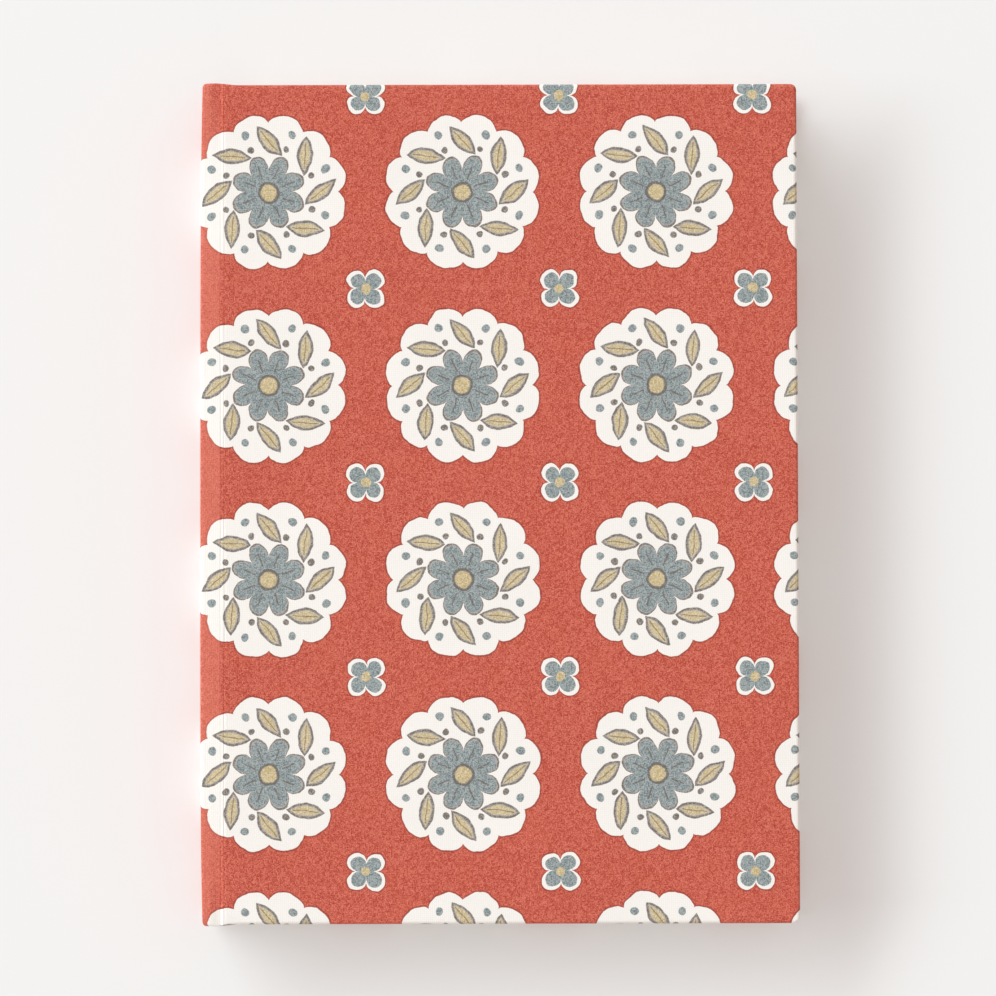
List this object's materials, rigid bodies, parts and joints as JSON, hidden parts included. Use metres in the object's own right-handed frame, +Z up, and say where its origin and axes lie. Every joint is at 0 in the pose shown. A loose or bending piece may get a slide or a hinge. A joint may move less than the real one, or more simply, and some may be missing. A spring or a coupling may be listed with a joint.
{
  "type": "hardcover notebook",
  "caption": "Portrait hardcover notebook: a square-backed case in printed cloth that opens flat on cloth joints, around a sewn block of blank pages with endpapers.",
  "frame": {"origin": "centre of the closed notebook's underside, on the surface it lies on", "axes": "+Z up through the front cover, +Y towards the head, +X towards the fore-edge, spine at -X"},
  "size_m": [0.1536, 0.2174, 0.0196],
  "materials": {
    "cover_cloth": "woven cotton, printed, matte",
    "greyboard": "dense grey pulp board",
    "page_paper": "uncoated, smooth",
    "endpaper": "uncoated, heavier",
    "mull": "open-weave cotton",
    "kraft_lining": "kraft paper",
    "linen_thread": "twisted thread"
  },
  "bodies": {
    "back_cover": {"back_board": "greyboard", "cover_cloth_back": "cover_cloth", "back_pastedown": "endpaper", "mull_flap_back": "mull"},
    "spine": {"spine_board": "greyboard", "cover_cloth_spine": "cover_cloth", "mull": "mull", "spine_lining": "kraft_lining"},
    "front_cover": {"front_board": "greyboard", "cover_cloth_front": "cover_cloth", "front_pastedown": "endpaper", "mull_flap_front": "mull"},
    "signature_01": {"section_01": "page_paper", "thread_01": "linen_thread", "front_flyleaf": "endpaper"},
    "signature_02": {"section_02": "page_paper", "thread_02": "linen_thread"},
    "signature_03": {"section_03": "page_paper", "thread_03": "linen_thread"},
    "signature_04": {"section_04": "page_paper", "thread_04": "linen_thread"},
    "signature_05": {"section_05": "page_paper", "thread_05": "linen_thread"},
    "signature_06": {"section_06": "page_paper", "thread_06": "linen_thread"},
    "signature_07": {"section_07": "page_paper", "thread_07": "linen_thread"},
    "signature_08": {"section_08": "page_paper", "thread_08": "linen_thread"},
    "signature_09": {"section_09": "page_paper", "thread_09": "linen_thread"},
    "signature_10": {"section_10": "page_paper", "thread_10": "linen_thread", "back_flyleaf": "endpaper"}
  },
  "joints": [
    {"name": "back_joint", "type": "hinge", "parent": "back_cover", "child": "spine", "pos_m": [-0.07646, 0, 0.00034], "axis": [0, -1, 0], "range_deg": [0, 90]},
    {"name": "front_joint", "type": "hinge", "parent": "spine", "child": "front_cover", "pos_m": [-0.07646, 0, 0.01926], "axis": [0, -1, 0], "range_deg": [0, 90]},
    {"name": "signature_slide_01", "type": "slide", "parent": "front_cover", "child": "signature_01", "axis": [-1, 0, 0], "range_m": [0, 0.00552]},
    {"name": "signature_slide_02", "type": "slide", "parent": "front_cover", "child": "signature_02", "axis": [-1, 0, 0], "range_m": [0, 0.00714]},
    {"name": "signature_slide_03", "type": "slide", "parent": "front_cover", "child": "signature_03", "axis": [-1, 0, 0], "range_m": [0, 0.00877]},
    {"name": "signature_slide_04", "type": "slide", "parent": "front_cover", "child": "signature_04", "axis": [-1, 0, 0], "range_m": [0, 0.01039]},
    {"name": "signature_slide_05", "type": "slide", "parent": "front_cover", "child": "signature_05", "axis": [-1, 0, 0], "range_m": [0, 0.01202]},
    {"name": "signature_slide_06", "type": "slide", "parent": "back_cover", "child": "signature_06", "axis": [-1, 0, 0], "range_m": [0, 0.01202]},
    {"name": "signature_slide_07", "type": "slide", "parent": "back_cover", "child": "signature_07", "axis": [-1, 0, 0], "range_m": [0, 0.01039]},
    {"name": "signature_slide_08", "type": "slide", "parent": "back_cover", "child": "signature_08", "axis": [-1, 0, 0], "range_m": [0, 0.00877]},
    {"name": "signature_slide_09", "type": "slide", "parent": "back_cover", "child": "signature_09", "axis": [-1, 0, 0], "range_m": [0, 0.00714]},
    {"name": "signature_slide_10", "type": "slide", "parent": "back_cover", "child": "signature_10", "axis": [-1, 0, 0], "range_m": [0, 0.00552]}
  ],
  "couplings": [
    {"joint": "signature_slide_01", "follows": "front_joint", "m_per_rad": 0.0034989},
    {"joint": "signature_slide_02", "follows": "front_joint", "m_per_rad": 0.004534},
    {"joint": "signature_slide_03", "follows": "front_joint", "m_per_rad": 0.0055692},
    {"joint": "signature_slide_04", "follows": "front_joint", "m_per_rad": 0.0066043},
    {"joint": "signature_slide_05", "follows": "front_joint", "m_per_rad": 0.0076394},
    {"joint": "signature_slide_06", "follows": "back_joint", "m_per_rad": 0.0076394},
    {"joint": "signature_slide_07", "follows": "back_joint", "m_per_rad": 0.0066043},
    {"joint": "signature_slide_08", "follows": "back_joint", "m_per_rad": 0.0055692},
    {"joint": "signature_slide_09", "follows": "back_joint", "m_per_rad": 0.004534},
    {"joint": "signature_slide_10", "follows": "back_joint", "m_per_rad": 0.0034989}
  ]
}
